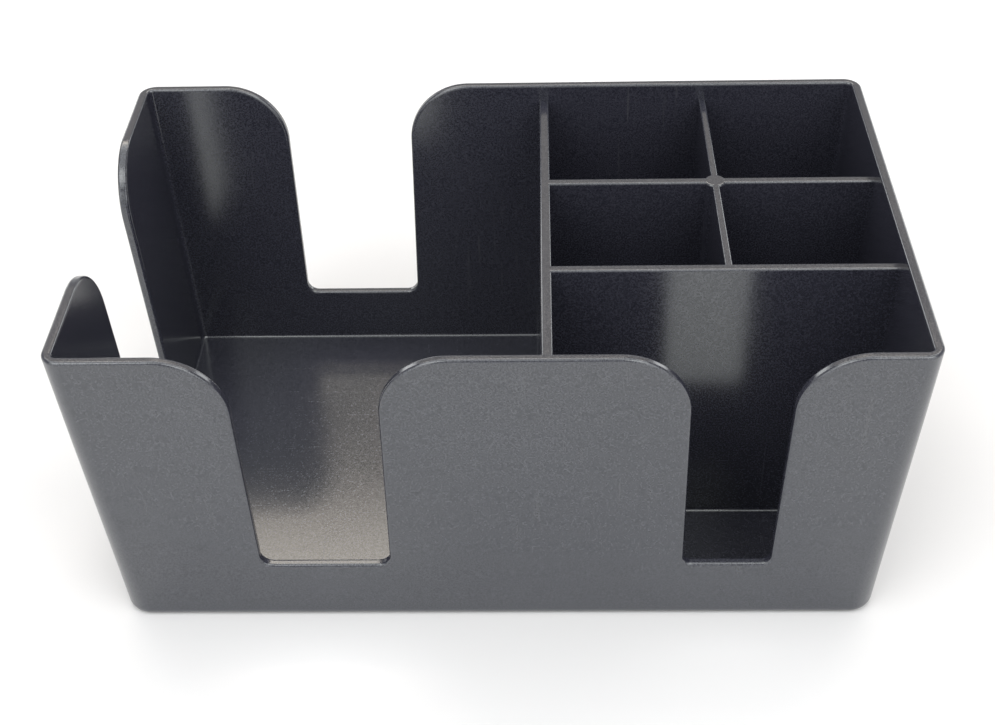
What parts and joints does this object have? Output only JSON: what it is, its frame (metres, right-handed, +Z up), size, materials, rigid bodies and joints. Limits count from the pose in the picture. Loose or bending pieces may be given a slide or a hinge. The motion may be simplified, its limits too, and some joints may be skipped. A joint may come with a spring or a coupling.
{
  "type": "counter caddy",
  "caption": "Black plastic caddy for a bar or counter, with an open napkin bay, a coaster bay and straw cells, cut out at the front, back and left for a hand.",
  "frame": {"origin": "middle of the underside, on the surface that the caddy stands on", "axes": "+X to the right along the length, +Y from the low-notched front to the back, +Z up out of the bays"},
  "size_m": [0.2412, 0.148, 0.1056],
  "materials": {
    "black_plastic": "satin black plastic with a very fine grain and light scuffs"
  },
  "bodies": {
    "root": {"back_panel_left": "black_plastic", "back_panel_right": "black_plastic", "back_sill": "black_plastic", "cell_divider_back": "black_plastic", "cell_divider_front": "black_plastic", "centre_partition": "black_plastic", "coaster_divider": "black_plastic", "corner_back_left": "black_plastic", "corner_back_right": "black_plastic", "corner_front_left": "black_plastic", "corner_front_right": "black_plastic", "divider_post": "black_plastic", "floor_pan": "black_plastic", "front_panel_centre": "black_plastic", "front_panel_left": "black_plastic", "front_panel_right": "black_plastic", "front_sill": "black_plastic", "left_panel_back": "black_plastic", "left_panel_front": "black_plastic", "left_sill": "black_plastic", "right_wall": "black_plastic", "straw_divider_left": "black_plastic", "straw_divider_right": "black_plastic"}
  },
  "joints": []
}
